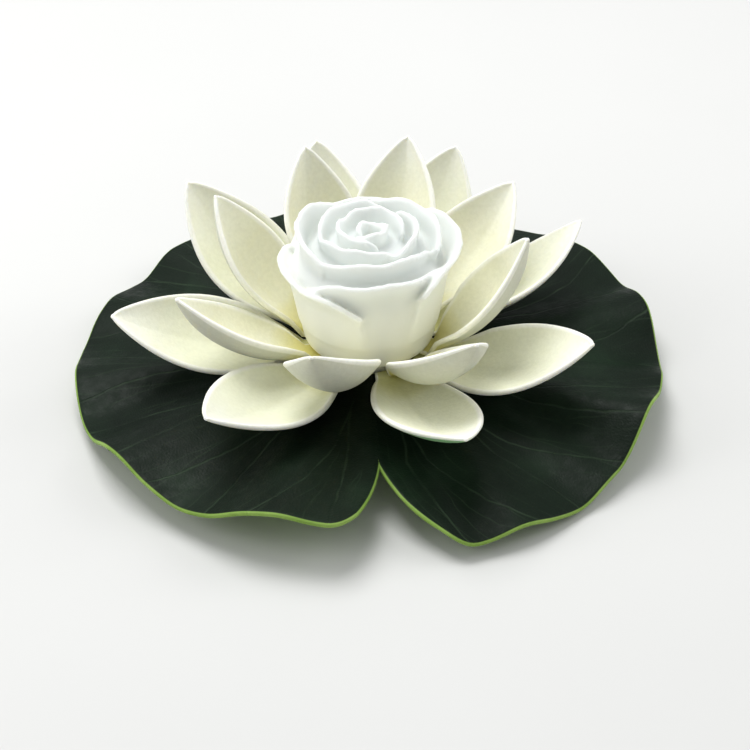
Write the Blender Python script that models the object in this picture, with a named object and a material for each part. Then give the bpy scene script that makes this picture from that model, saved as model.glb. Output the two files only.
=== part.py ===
"""Floating lotus pool light: a rose lamp in two rings of foam petals on a round foam leaf.

A round waterproof base sits under the leaf and holds a coin cell, a small circuit board and a
slide switch. Its spigot goes up through the leaf and the petals' feet into the neck of the
frosted rose shade, whose shoulder clamps leaf and petals against the base.

Frame: metres, +Z up, origin on the lamp's axis in the plane that the base stands on.
The leaf's notch points to -Y. Sizes below are in millimetres, MM turns them into metres.
"""
import math

import bmesh
import bpy
import numpy as np

MM = 0.001
GAP = 0.3                     # clearance between neighbouring pieces

# ---- leaf -------------------------------------------------------------------------------
LEAF_RADIUS = 89.4
LEAF_THICK = 1.6
LEAF_HOLE = 15.6
LEAF_FLAT = 24.0              # the leaf is flat inside this radius, where it is clamped
LEAF_COLUMNS = 60
NOTCH_AZIMUTH = 272.7         # direction of the notch's inner end
NOTCH_START = 57.0            # radius of the notch's inner end
NOTCH_LEFT = 5.0              # degrees that the notch opens to each side at the rim
NOTCH_RIGHT = 11.0
NOTCH_CORNER = 8.0            # rounding of the two lobes' corners along the rim
NOTCH_CORNER_DROP = 6.0
# heights of the wavy rim: (azimuth in degrees, height above the table)
LEAF_WAVES = (
    (0, 6), (13, 14), (25, 10), (36, 13), (60, 7), (90, 13), (115, 7), (137, 8.5),
    (148, 3), (160, 7), (175, 4), (188, 8.5), (201, 4), (218, 12), (234, 7.5),
    (255, 16.5), (266, 15), (284, 7), (290, 4.5), (298, 6.5), (311, 2.4), (322, 6),
    (335, 16), (348, 10),
)

# ---- petals -----------------------------------------------------------------------------
PETAL_FOOT_RADIUS = 20.0      # the free petal starts here
PETAL_TAB_RADIUS = 16.0       # inner end of the clamped foot
PETAL_CURL = 1.2              # above 1, the slope changes late, near the tip
PETAL_FOOT_SHARE = 0.34       # foot width over full width
PETAL_FOOT_THICK = 1.35       # squeezed by the clamp
PETAL_THICK = 1.8
PETAL_STATIONS = 10
PETAL_COLUMNS = 7
LOWER_LENGTH = 62.0
UPPER_LENGTH = 54.0
LOWER_HALF_WIDTH = 15.0
UPPER_HALF_WIDTH = 14.0
LOWER_CUP = 5.0               # how deep the blade is hollowed
UPPER_CUP = 7.5
# six ways to bend a petal: slope at its foot and at its tip, in degrees
LAID = (0, 40)
LIFTED = (0, 55)
RAISED = (10, 70)
OPEN = (15, 70)
STEEP = (45, 75)
UPRIGHT = (30, 90)
# each petal's direction, its bend, and how far its blade is turned, in 5 degree steps
LOWER_PETALS = (
    (25, LIFTED, -15), (65, RAISED, 20), (105, RAISED, 0), (150, OPEN, -20),
    (190, LAID, -20), (235, LAID, -10), (290, LAID, -5), (330, LIFTED, 15),
)
UPPER_PETALS = (
    (40, OPEN, 10), (75, STEEP, -5), (115, UPRIGHT, 10), (165, UPRIGHT, -5),
    (205, RAISED, 5), (255, OPEN, 10), (300, OPEN, -5), (345, UPRIGHT, 10),
)

# ---- base -------------------------------------------------------------------------------
BASE_RADIUS = 23.0
BASE_TOP = 9.6
BASE_WALL = 1.8
PLATE_THICK = 1.4
LEDGE_RADIUS = 20.0           # the cover's seal is squeezed against this ledge
LEDGE_HEIGHT = 4.5
SPIGOT_INNER = 11.4
SPIGOT_OUTER = 13.0
SPIGOT_TOP = 19.0
BOSS_CIRCLE = 17.4
BOSS_RADIUS = 2.2
BOSS_BOTTOM = 3.3
BOSS_AZIMUTHS = (0, 110, 250)
STAKE_OFFSET = 12.6           # the posts that hold the circuit board
TURN_SEGMENTS = 48

COVER_RADIUS = 20.8
COVER_BOTTOM = 1.0
COVER_TOP = 3.0
CELL_X = -6.0                 # centre of the coin cell
POCKET_INNER = 10.6
POCKET_OUTER = 13.2
POCKET_TOP = 6.3
DOOR_RADIUS = 11.6
DOOR_TOP = 2.0
DOOR_LEDGE = 3.2
DOOR_SCREW_X = 9.4
DOOR_BOSS_RADIUS = 2.1
DOOR_TAB_HALF = 2.7           # half width of the tab that the door's screw goes through
DOOR_CLEARANCE = 0.4
CONTACT_WINDOW = 4.4          # width of the opening that lets the side contact in
CELL_RADIUS = 10.0
CELL_BOTTOM = 2.5
CELL_THICK = 3.2

BOARD_RADIUS = 14.8
BOARD_BOTTOM = 6.9
BOARD_TOP = 7.9
LEAD_SPACING = 2.54
LEAD_RADIUS = 0.28
LENS_BOTTOM = 19.3
LENS_RADIUS = 2.5
LENS_HEIGHT = 8.6

SWITCH_X = 10.1
SWITCH_Y = 6.7
SWITCH_TRAVEL = 2.0           # the slider rests at the off end of its travel
SLOT_HALF_WIDTH = 1.1
SLOT_HALF_LENGTH = 2.15

# ---- rose shade -------------------------------------------------------------------------
NECK_INNER = 13.3
NECK_OUTER = 15.3
NECK_BOTTOM = 11.1
SHOULDER = 15.2
ROSE_SEGMENTS = 36
# outside from the neck over the lips to the middle: radius, height, share of the lip's wave
ROSE_OUTSIDE = (
    (NECK_OUTER, NECK_BOTTOM, 0), (NECK_OUTER, SHOULDER, 0), (17.2, 15.5, 0), (19.2, 16.4, 0),
    (20.5, 18.2, 0), (21.0, 22.0, 0), (21.6, 28.0, 0.1), (22.6, 34.0, 0.3),
    (24.2, 41.0, 0.7), (26.0, 46.5, 1), (26.4, 48.6, 1), (25.2, 49.0, 1),
    (23.6, 46.0, 0.6), (21.8, 44.4, 0.3), (19.9, 47.4, 0.2), (18.9, 52.0, 0.1),
    (17.5, 52.8, 0), (15.6, 50.6, 0), (13.6, 49.0, 0), (11.8, 51.6, 0),
    (10.4, 54.6, 0), (8.9, 54.9, 0), (6.0, 52.8, 0), (3.0, 52.0, 0),
)
ROSE_INSIDE = (
    (NECK_INNER, NECK_BOTTOM, 0), (NECK_INNER, 16.0, 0), (15.4, 17.2, 0), (18.4, 18.8, 0),
    (19.2, 22.0, 0), (19.8, 28.0, 0), (20.6, 34.0, 0), (20.4, 38.5, 0),
    (18.6, 41.6, 0), (13.4, 46.0, 0), (6.0, 48.4, 0),
)
LIP_OVAL = 1.4                # the lips stand out to the right and left by this
LIP_SHIFT = 0.6               # and a little more to the right
LIP_RISE = 2.8                # and are higher there
ROSE_TOP_OUTSIDE = 51.6
ROSE_TOP_INSIDE = 49.0


# ---- scene, materials and objects ----------------------------------------------------------
def clear_scene():
    """Remove every object, mesh and material left in the file."""
    for item in list(bpy.data.objects):
        bpy.data.objects.remove(item, do_unlink=True)
    for mesh in list(bpy.data.meshes):
        bpy.data.meshes.remove(mesh)
    for finish in list(bpy.data.materials):
        bpy.data.materials.remove(finish)


def linear(hex_colour):
    """sRGB hex text to the linear RGBA that a shader socket takes."""
    parts = [int(hex_colour[i:i + 2], 16) / 255 for i in (1, 3, 5)]
    return [c / 12.92 if c < 0.04045 else ((c + 0.055) / 1.055) ** 2.4 for c in parts] + [1.0]


def finish(name, hex_colour, roughness, metallic=0.0):
    """One Principled material."""
    made = bpy.data.materials.new(name)
    made.use_nodes = True
    shader = made.node_tree.nodes["Principled BSDF"]
    shader.inputs["Base Color"].default_value = linear(hex_colour)
    shader.inputs["Roughness"].default_value = roughness
    shader.inputs["Metallic"].default_value = metallic
    made.diffuse_color = linear(hex_colour)
    return made


def add(name, bm, look, smooth_angle=35.0):
    """Turn a bmesh in millimetres into a named object in metres, smooth but for sharp edges."""
    bmesh.ops.recalc_face_normals(bm, faces=bm.faces)
    bmesh.ops.scale(bm, vec=(MM, MM, MM), verts=bm.verts)
    mesh = bpy.data.meshes.new(name)
    bm.to_mesh(mesh)
    bm.free()
    mesh.shade_smooth()
    mesh.set_sharp_from_angle(angle=math.radians(smooth_angle))
    item = bpy.data.objects.new(name, mesh)
    bpy.context.scene.collection.objects.link(item)
    if look:
        mesh.materials.append(finish(name + "_finish", *look))
    return item


def move_origin(item, x, y, z):
    """Put the object's origin at a point of the object, in millimetres, leaving it in place."""
    for vertex in item.data.vertices:
        vertex.co.x -= x * MM
        vertex.co.y -= y * MM
        vertex.co.z -= z * MM
    item.location = (x * MM, y * MM, z * MM)


def carve(item, tool_mesh, operation="DIFFERENCE"):
    """Cut a bmesh from an object, or join it on, with an exact Boolean and a hidden tool."""
    tool = add("tool_for_" + item.name, tool_mesh, None)
    tool.hide_render = True
    tool.display_type = "WIRE"
    cut = item.modifiers.new("carve", "BOOLEAN")
    cut.operation = operation
    cut.solver = "EXACT"
    cut.object = tool


# ---- basic bodies, all in millimetres ------------------------------------------------------
def ring_of(bm, radius, z, segments, centre=(0.0, 0.0)):
    """A ring of vertices."""
    angles = [2 * math.pi * k / segments for k in range(segments)]
    return [bm.verts.new((centre[0] + radius * math.cos(a), centre[1] + radius * math.sin(a), z))
            for a in angles]


def band(bm, first, second):
    """Quads between two rings of the same length."""
    count = len(first)
    for k in range(count):
        n = (k + 1) % count
        bm.faces.new((first[k], first[n], second[n], second[k]))


def turned(profile, segments=TURN_SEGMENTS, centre=(0.0, 0.0), closed=True):
    """Turn a (radius, height) profile: a closed ring body, or a solid with flat end caps."""
    bm = bmesh.new()
    rings = [ring_of(bm, r, z, segments, centre) for r, z in profile]
    for first, second in zip(rings[:-1], rings[1:]):
        band(bm, first, second)
    if closed:
        band(bm, rings[-1], rings[0])
    else:
        bm.faces.new(rings[0])
        bm.faces.new(rings[-1])
    return bm


def cylinder(radius, low, high, centre=(0.0, 0.0), segments=16):
    """A plain post or hole."""
    return turned([(radius, low), (radius, high)], segments, centre, closed=False)


def torus(ring_radius, section, z, centre=(0.0, 0.0)):
    """An O-ring of round section."""
    sides = 6
    angles = [2 * math.pi * (k + 0.5) / sides for k in range(sides)]
    profile = [(ring_radius + section / 2 * math.cos(a), z + section / 2 * math.sin(a))
               for a in angles]
    return turned(profile, TURN_SEGMENTS, centre)


def block(low, high):
    """A box between two corners."""
    bm = bmesh.new()
    bmesh.ops.create_cube(bm, size=1.0)
    for vertex in bm.verts:
        for axis in range(3):
            vertex.co[axis] = low[axis] if vertex.co[axis] < 0 else high[axis]
    return bm


def outline_plate(points, low, high):
    """A flat plate from its outline."""
    bm = bmesh.new()
    lower = [bm.verts.new((x, y, low)) for x, y in points]
    upper = [bm.verts.new((x, y, high)) for x, y in points]
    band(bm, lower, upper)
    bm.faces.new(lower)
    bm.faces.new(upper)
    return bm


def merged(*parts):
    """Several closed bodies in one bmesh, for use as one Boolean tool."""
    bm = bmesh.new()
    for part in parts:
        mesh = bpy.data.meshes.new("merge")
        part.to_mesh(mesh)
        part.free()
        bm.from_mesh(mesh)
        bpy.data.meshes.remove(mesh)
    return bm


def thick_sheet(middle, thickness):
    """Give a grid of middle-surface points a thickness along its normals, with a closed rim."""
    along = np.gradient(middle, axis=0)
    across = np.gradient(middle, axis=1)
    normal = np.cross(along, across)
    normal /= np.linalg.norm(normal, axis=2, keepdims=True)
    half = np.broadcast_to(thickness, middle.shape[:2])[..., None] / 2
    bm = bmesh.new()
    upper = [[bm.verts.new(p) for p in row] for row in middle + normal * half]
    lower = [[bm.verts.new(p) for p in row] for row in middle - normal * half]
    rows = len(upper)
    columns = len(upper[0])
    for i in range(rows - 1):
        for j in range(columns - 1):
            bm.faces.new((upper[i][j], upper[i + 1][j], upper[i + 1][j + 1], upper[i][j + 1]))
            bm.faces.new((lower[i][j], lower[i][j + 1], lower[i + 1][j + 1], lower[i + 1][j]))
    rim = [(0, j) for j in range(columns - 1)]
    rim += [(i, columns - 1) for i in range(rows - 1)]
    rim += [(rows - 1, j) for j in range(columns - 1, 0, -1)]
    rim += [(i, 0) for i in range(rows - 1, 0, -1)]
    band(bm, [upper[i][j] for i, j in rim], [lower[i][j] for i, j in rim])
    return bm


# ---- leaf -------------------------------------------------------------------------------------
def wave_height(azimuth):
    """Height of the rim at an azimuth: cosine steps between the crests and troughs."""
    knots = LEAF_WAVES + ((LEAF_WAVES[0][0] + 360, LEAF_WAVES[0][1]),)
    where = azimuth % 360
    for (a, low), (b, high) in zip(knots[:-1], knots[1:]):
        if a <= where <= b:
            share = 0.5 - 0.5 * math.cos(math.pi * (where - a) / (b - a))
            return low + (high - low) * share
    return knots[0][1]


def leaf_point(share_round, share_out):
    """Middle surface of the leaf. share_round runs from the notch's right side round to its
    left side, share_out from the hole to the rim. The sheet is slit along the notch and the
    slit is spread open into a V."""
    rim_distance = min(share_round, 1 - share_round) * 2 * math.pi * LEAF_RADIUS
    corner = max(0.0, 1 - rim_distance / NOTCH_CORNER) ** 2
    radius = LEAF_HOLE + (LEAF_RADIUS - LEAF_HOLE) * share_out
    depth = max(0.0, (radius - NOTCH_START) / (LEAF_RADIUS - NOTCH_START))
    radius -= NOTCH_CORNER_DROP * corner * depth ** 2
    right = NOTCH_RIGHT * depth ** 1.1
    left = NOTCH_LEFT * depth ** 1.2
    azimuth = NOTCH_AZIMUTH + right + share_round * (360 - right - left)
    lift = max(0.0, (radius - LEAF_FLAT) / (LEAF_RADIUS - LEAF_FLAT)) ** 1.7
    centre = BASE_TOP + GAP + LEAF_THICK / 2
    height = centre + (wave_height(azimuth) - centre) * lift
    angle = math.radians(azimuth)
    return radius * math.cos(angle), radius * math.sin(angle), height


def make_leaf():
    """The round leaf pad with its wavy rim, its notch and the lamp's hole."""
    radii = (LEAF_HOLE, LEAF_FLAT, 41.0, NOTCH_START, 68.0, 79.0, LEAF_RADIUS)
    shares = [(r - LEAF_HOLE) / (LEAF_RADIUS - LEAF_HOLE) for r in radii]
    middle = np.array([[leaf_point(k / LEAF_COLUMNS, share) for share in shares]
                       for k in range(LEAF_COLUMNS + 1)])
    bm = thick_sheet(middle, LEAF_THICK)
    close_slit(bm)
    add("leaf_pad", bm, ("#1c281e", 0.45))


def close_slit(bm):
    """Join the two edges of the slit where it is not spread open, inside the notch."""
    slit = math.radians(NOTCH_AZIMUTH)
    inner = {v for v in bm.verts
             if math.hypot(v.co.x, v.co.y) < NOTCH_START + 1
             and v.co.x * math.cos(slit) + v.co.y * math.sin(slit) > 0
             and abs(v.co.y * math.cos(slit) - v.co.x * math.sin(slit)) < 0.5}
    walls = [face for face in bm.faces if inner.issuperset(face.verts)]
    bmesh.ops.delete(bm, geom=walls, context="FACES_ONLY")
    bmesh.ops.remove_doubles(bm, verts=list(inner), dist=0.5)


# ---- petals -----------------------------------------------------------------------------------
def petal_middle(row, length, half_width, cup, seat):
    """Middle surface of one petal, from its clamped foot to its pointed tip.

    The midline climbs at a slope that changes from the foot's to the tip's. Each cross-section
    is a parabola whose depth follows the cup, and the twist turns the blade about the line
    from foot to tip."""
    azimuth, (foot_slope, tip_slope), twist = row
    s = np.linspace(0, 1, PETAL_STATIONS)
    slope = np.radians(foot_slope + (tip_slope - foot_slope) * s ** PETAL_CURL)
    step = length / (PETAL_STATIONS - 1)
    out = PETAL_FOOT_RADIUS + step * running_mean_sum(np.cos(slope))
    up = seat + step * running_mean_sum(np.sin(slope))
    belly = np.sin(np.pi * (s / 1.1) ** 0.95)
    width = (PETAL_FOOT_SHARE + (1 - PETAL_FOOT_SHARE) * belly) * np.sqrt(1 - s ** 3.2)
    width = half_width * width
    width[-1] = 0.35
    depth = cup * np.sin(np.pi * s ** 0.8) ** 0.8
    depth[-1] = 0
    across = np.linspace(-1, 1, PETAL_COLUMNS)
    rise = depth[:, None] * across ** 2
    blade = np.stack([out[:, None] - rise * np.sin(slope)[:, None],
                      width[:, None] * across,
                      up[:, None] + rise * np.cos(slope)[:, None]], axis=2)
    blade = twisted(blade, twist, np.minimum(1, s / 0.3))
    tab = np.stack([np.full(PETAL_COLUMNS, PETAL_TAB_RADIUS), blade[0, :, 1] * 0.8,
                    np.full(PETAL_COLUMNS, seat)], axis=1)
    return turned_about_z(np.concatenate([tab[None], blade]), math.radians(azimuth))


def running_mean_sum(values):
    """Sum of the trapezoids up to each station, starting at zero."""
    return np.concatenate([[0], np.cumsum((values[1:] + values[:-1]) / 2)])


def twisted(blade, degrees, share):
    """Turn the blade about the chord from its foot to its tip, each station by its share."""
    middle = blade.shape[1] // 2
    foot = blade[0, middle]
    chord = blade[-1, middle] - foot
    chord = chord / np.linalg.norm(chord)
    angle = math.radians(degrees) * share[:, None, None]
    arm = blade - foot
    along = (arm @ chord)[..., None] * chord
    return foot + arm * np.cos(angle) + np.cross(chord, arm) * np.sin(angle) + along * (1 - np.cos(angle))


def turned_about_z(points, angle):
    """Rotate points about the lamp's axis."""
    turn = np.array([[math.cos(angle), math.sin(angle), 0],
                     [-math.sin(angle), math.cos(angle), 0],
                     [0, 0, 1]])
    return points @ turn


def make_petals():
    """Two rings of eight petals. The upper feet lie on the lower feet, the lower on the leaf."""
    leaf_top = BASE_TOP + GAP + LEAF_THICK
    lower_seat = leaf_top + GAP + PETAL_FOOT_THICK / 2
    upper_seat = lower_seat + PETAL_FOOT_THICK + GAP
    stations = np.concatenate([[0], np.linspace(0, 1, PETAL_STATIONS)])
    body = np.clip(stations / 0.2, 0, 1)[:, None]
    thickness = PETAL_FOOT_THICK + (PETAL_THICK - PETAL_FOOT_THICK) * body
    rings = (("lower_petal_", LOWER_PETALS, "#e9e8d2",
              (LOWER_LENGTH, LOWER_HALF_WIDTH, LOWER_CUP, lower_seat)),
             ("upper_petal_", UPPER_PETALS, "#efeddb",
              (UPPER_LENGTH, UPPER_HALF_WIDTH, UPPER_CUP, upper_seat)))
    for prefix, rows, colour, size in rings:
        for number, row in enumerate(rows, 1):
            sheet = thick_sheet(petal_middle(row, *size), thickness)
            add(prefix + str(number), sheet, (colour, 0.6), 60.0)


# ---- rose shade -------------------------------------------------------------------------------
def rose_ring(bm, radius, z, share):
    """One ring of the shade. The lips stand out to the right and left and rise to the right."""
    ring = []
    for k in range(ROSE_SEGMENTS):
        a = 2 * math.pi * k / ROSE_SEGMENTS
        flare = LIP_OVAL * math.cos(2 * a) + LIP_SHIFT * math.cos(a)
        lift = LIP_RISE * math.cos(a - math.radians(20))
        r = radius + share * flare
        ring.append(bm.verts.new((r * math.cos(a), r * math.sin(a), z + share * lift)))
    return ring


def capped(bm, ring, z):
    """Close a ring to a point on the axis."""
    pole = bm.verts.new((0, 0, z))
    for k in range(len(ring)):
        bm.faces.new((ring[k], ring[(k + 1) % len(ring)], pole))


def make_rose():
    """The frosted shade: one shell, open at its neck, with the rose's lips moulded on top."""
    bm = bmesh.new()
    outside = [rose_ring(bm, *row) for row in ROSE_OUTSIDE]
    inside = [rose_ring(bm, *row) for row in ROSE_INSIDE]
    for rings in (outside, inside):
        for first, second in zip(rings[:-1], rings[1:]):
            band(bm, first, second)
    band(bm, outside[0], inside[0])
    capped(bm, outside[-1], ROSE_TOP_OUTSIDE)
    capped(bm, inside[-1], ROSE_TOP_INSIDE)
    add("rose_shade", bm, ("#e8ece6", 0.5), 70.0)


# ---- base -------------------------------------------------------------------------------------
def boss_centres():
    """Centres of the three bosses that take the cover's screws."""
    return [(BOSS_CIRCLE * math.cos(math.radians(a)), BOSS_CIRCLE * math.sin(math.radians(a)))
            for a in BOSS_AZIMUTHS]


def make_housing():
    """The cup under the leaf: wall, top plate and spigot, with screw bosses and board posts."""
    inner = BASE_RADIUS - BASE_WALL
    under = BASE_TOP - PLATE_THICK
    profile = [(BASE_RADIUS, 0), (BASE_RADIUS, BASE_TOP - 1), (BASE_RADIUS - 1, BASE_TOP),
               (SPIGOT_OUTER, BASE_TOP), (SPIGOT_OUTER, SPIGOT_TOP - 0.4),
               (SPIGOT_OUTER - 0.4, SPIGOT_TOP), (SPIGOT_INNER, SPIGOT_TOP),
               (SPIGOT_INNER, under), (LEDGE_RADIUS, under), (LEDGE_RADIUS, LEDGE_HEIGHT),
               (inner, LEDGE_HEIGHT), (inner, 0)]
    housing = add("base_housing", turned(profile), ("#e6e4da", 0.4))
    posts = [cylinder(BOSS_RADIUS, BOSS_BOTTOM, under + 0.5, c) for c in boss_centres()]
    posts += [cylinder(0.8, BOARD_BOTTOM - 0.5, under + 0.5, (0, side * STAKE_OFFSET), 12)
              for side in (1, -1)]
    carve(housing, merged(*posts), "UNION")
    holes = [cylinder(1.2, BOSS_BOTTOM - 1, under - 0.6, c, 12) for c in boss_centres()]
    carve(housing, merged(*holes))


def make_cover():
    """The cover screwed into the base, with the cell's pocket, the door's seat and the slot."""
    cover = add("bottom_cover", cylinder(COVER_RADIUS, COVER_BOTTOM, COVER_TOP,
                                         segments=TURN_SEGMENTS), ("#dedcd2", 0.45))
    cell = (CELL_X, 0)
    pocket = cylinder(POCKET_OUTER, COVER_TOP - 0.5, POCKET_TOP, cell, TURN_SEGMENTS)
    carve(cover, pocket, "UNION")
    boss = cylinder(DOOR_BOSS_RADIUS, COVER_TOP - 0.5, POCKET_TOP, (DOOR_SCREW_X, 0))
    carve(cover, boss, "UNION")
    carve(cover, cylinder(POCKET_INNER, 0, 10, cell, TURN_SEGMENTS))
    tab_end = DOOR_SCREW_X + DOOR_TAB_HALF + DOOR_CLEARANCE
    seat = door_outline(DOOR_RADIUS + DOOR_CLEARANCE, DOOR_TAB_HALF + DOOR_CLEARANCE, tab_end)
    carve(cover, outline_plate(seat, 0, DOOR_TOP + GAP))
    carve(cover, cylinder(DOOR_RADIUS + DOOR_CLEARANCE, 0, DOOR_LEDGE, cell, TURN_SEGMENTS))
    carve(cover, cylinder(1.1, 0, POCKET_TOP - 0.8, (DOOR_SCREW_X, 0), 12))
    sinks = [turned([(2.5, 0.8), (2.5, 1.0), (1.2, 2.3), (1.2, 5)], 16, c, closed=False)
             for c in boss_centres()]
    carve(cover, merged(*sinks))
    carve(cover, switch_slot(0, POCKET_TOP))
    window = block((CELL_X + CELL_RADIUS - 1, -CONTACT_WINDOW / 2, DOOR_LEDGE + GAP),
                   (DOOR_SCREW_X - DOOR_BOSS_RADIUS - 0.2, CONTACT_WINDOW / 2, POCKET_TOP + 1))
    carve(cover, window)


def switch_slot(low, high):
    """The slot that the slider stands in, through the cover and the switch's body."""
    return block((SWITCH_X - SLOT_HALF_WIDTH, SWITCH_Y - SLOT_HALF_LENGTH, low),
                 (SWITCH_X + SLOT_HALF_WIDTH, SWITCH_Y + SLOT_HALF_LENGTH, high))


def door_outline(radius, half_tab, tab_end):
    """The door's outline: a disc about the cell with a round-ended tab for its screw."""
    start = math.asin(half_tab / radius)
    disc = [start + (2 * math.pi - 2 * start) * k / 32 for k in range(33)]
    points = [(CELL_X + radius * math.cos(a), radius * math.sin(a)) for a in disc]
    tab_centre = tab_end - half_tab
    turn = [-math.pi / 2 + math.pi * k / 8 for k in range(9)]
    return points + [(tab_centre + half_tab * math.cos(a), half_tab * math.sin(a)) for a in turn]


def make_door():
    """The battery door with its seal, its screw and the coin cell that it lets out."""
    outline = door_outline(DOOR_RADIUS, DOOR_TAB_HALF, DOOR_SCREW_X + DOOR_TAB_HALF)
    door = add("battery_door", outline_plate(outline, COVER_BOTTOM, DOOR_TOP), ("#dedcd2", 0.45))
    carve(door, turned([(2.0, 0.5), (2.0, COVER_BOTTOM), (1.1, 1.8), (1.1, 3)], 16,
                       (DOOR_SCREW_X, 0), closed=False))
    coin_slot = block((CELL_X - 4, -0.7, 0), (CELL_X + 4, 0.7, COVER_BOTTOM + 0.4))
    carve(door, coin_slot)
    add("door_seal", torus(11.2, 0.6, DOOR_TOP + GAP + 0.3, (CELL_X, 0)), ("#2a2a2a", 0.7))
    screw("door_screw", (DOOR_SCREW_X, 0), COVER_BOTTOM + 0.1, 1.7, 0.7, 0.75, 4.1)
    top = CELL_BOTTOM + CELL_THICK
    cell = [(CELL_RADIUS - 0.4, CELL_BOTTOM), (CELL_RADIUS, CELL_BOTTOM + 0.4),
            (CELL_RADIUS, top - 0.7), (CELL_RADIUS - 0.5, top - 0.4), (8.8, top - 0.4),
            (8.6, top)]
    add("coin_cell", turned(cell, TURN_SEGMENTS, (CELL_X, 0), closed=False),
        ("#c9cacb", 0.3, 1.0))


def screw(name, centre, head_z, head_radius, head_height, shank_radius, length):
    """A countersunk screw with its head down and a cross recess."""
    profile = [(head_radius, head_z), (shank_radius, head_z + head_height),
               (shank_radius, head_z + length - 0.5), (shank_radius * 0.5, head_z + length)]
    item = add(name, turned(profile, 16, centre, closed=False), ("#b9bbbd", 0.35, 1.0))
    long = head_radius * 0.62
    x, y = centre
    carve(item, block((x - long, y - 0.22, head_z - 1), (x + long, y + 0.22, head_z + 0.35)))
    carve(item, block((x - 0.22, y - long, head_z - 1), (x + 0.22, y + long, head_z + 0.35)))


def make_fasteners_and_seals():
    """The cover's three screws, its seal, and the seal under the shade's neck."""
    for number, centre in enumerate(boss_centres(), 1):
        screw("cover_screw_" + str(number), centre, COVER_BOTTOM + 0.1, 2.1, 1.2, 0.85, 5.6)
    add("cover_seal", torus(20.4, 0.9, 3.75), ("#2a2a2a", 0.7))
    neck_middle = (NECK_INNER + NECK_OUTER) / 2
    add("neck_seal", torus(neck_middle, 0.8, (BASE_TOP + NECK_BOTTOM) / 2), ("#2a2a2a", 0.7))


# ---- electrics --------------------------------------------------------------------------------
def make_board():
    """The round circuit board with its lead holes and post holes, and the series resistor."""
    board = add("circuit_board", cylinder(BOARD_RADIUS, BOARD_BOTTOM, BOARD_TOP,
                                          segments=TURN_SEGMENTS), ("#2f6b3c", 0.5))
    holes = [cylinder(0.6, 5, 9, (side * LEAD_SPACING / 2, 0), 10) for side in (1, -1)]
    holes += [cylinder(1.1, 5, 9, (0, side * STAKE_OFFSET), 12) for side in (1, -1)]
    carve(board, merged(*holes))
    add("series_resistor", block((-1.6, -6.8, BOARD_TOP + GAP), (1.6, -5.2, BOARD_TOP + 0.9)),
        ("#1b1b1c", 0.5))


def make_led():
    """The LED's domed lens on its two leads, standing in the middle of the spigot."""
    dome = [(LENS_RADIUS * math.cos(a), LENS_BOTTOM + LENS_HEIGHT - LENS_RADIUS
             + LENS_RADIUS * math.sin(a)) for a in (0, 0.4, 0.8, 1.15, 1.45)]
    profile = [(2.9, LENS_BOTTOM), (2.9, LENS_BOTTOM + 1), (LENS_RADIUS, LENS_BOTTOM + 1)] + dome
    add("led_lens", turned(profile, 20, closed=False), ("#e9edf0", 0.1))
    for name, side, low in (("led_lead_anode", 1, 6.1), ("led_lead_cathode", -1, 6.4)):
        lead = cylinder(LEAD_RADIUS, low, LENS_BOTTOM - GAP, (side * LEAD_SPACING / 2, 0), 8)
        add(name, lead, ("#c4c6c8", 0.3, 1.0))


def strip(points, width, thickness, y=0.0):
    """A bent metal strip: a path in X and Z, given a thickness downwards or inwards."""
    bm = bmesh.new()
    path = np.array(points, dtype=float)
    step = np.gradient(path, axis=0)
    step /= np.linalg.norm(step, axis=1, keepdims=True)
    side = np.stack([-step[:, 1], step[:, 0]], axis=1) * thickness / 2
    loops = []
    for p, n in zip(path, side):
        corners = [(p + n, y - width / 2), (p + n, y + width / 2),
                   (p - n, y + width / 2), (p - n, y - width / 2)]
        loops.append([bm.verts.new((q[0], where, q[1])) for q, where in corners])
    for first, second in zip(loops[:-1], loops[1:]):
        band(bm, first, second)
    bm.faces.new(loops[0])
    bm.faces.new(loops[-1])
    return bm


def make_contacts():
    """The cell's two contacts: a tongue over its top, and a blade at its side."""
    tongue = [(CELL_X - 5, 6.45), (CELL_X - 3, 6.45), (CELL_X - 1.5, 6.15), (CELL_X + 1.5, 6.12)]
    add("negative_contact", strip(tongue, 4.0, 0.2), ("#c8b878", 0.3, 1.0))
    side = CELL_X + CELL_RADIUS + 0.55
    blade = [(side, 3.9), (side, 6.0), (side + 0.5, 6.5)]
    add("positive_contact", strip(blade, 3.4, 0.25), ("#c8b878", 0.3, 1.0))


def make_switch():
    """The slide switch: a body with a stepped slot, and a slider that moves along Y."""
    body = add("switch_body", block((SWITCH_X - 1.8, SWITCH_Y - 3.3, COVER_TOP + GAP),
                                    (SWITCH_X + 1.8, SWITCH_Y + 3.3, 6.6)), ("#3a3c3e", 0.5))
    carve(body, switch_slot(COVER_TOP, 4.2))
    track = block((SWITCH_X - 1.5, SWITCH_Y - 2.6, 3.9), (SWITCH_X + 1.5, SWITCH_Y + 2.6, 5.6))
    carve(body, track)
    rest = SWITCH_Y - SWITCH_TRAVEL / 2
    slider = add("switch_slider", block((SWITCH_X - 0.8, rest - 0.8, 0.4),
                                        (SWITCH_X + 0.8, rest + 0.8, 4.4)), ("#151515", 0.5))
    foot = block((SWITCH_X - 1.25, rest - 1.2, 4.2), (SWITCH_X + 1.25, rest + 1.2, 5.3))
    carve(slider, foot, "UNION")
    move_origin(slider, SWITCH_X, rest, 2.0)


def main():
    """Build every piece."""
    clear_scene()
    make_leaf()
    make_petals()
    make_rose()
    make_housing()
    make_cover()
    make_door()
    make_fasteners_and_seals()
    make_board()
    make_led()
    make_contacts()
    make_switch()


main()
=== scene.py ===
# %% [markdown]
# # A floating lotus light
#
# The light is a frosted rose lamp in two rings of foam petals, on a round foam leaf that
# floats on a pool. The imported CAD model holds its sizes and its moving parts. This lesson
# loads that model as a fixed frame, and then builds the surfaces that the eye meets: each
# shape is a function of two parameters worked out with numpy, and each finish starts from
# what the real material is and how it was made.

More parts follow.
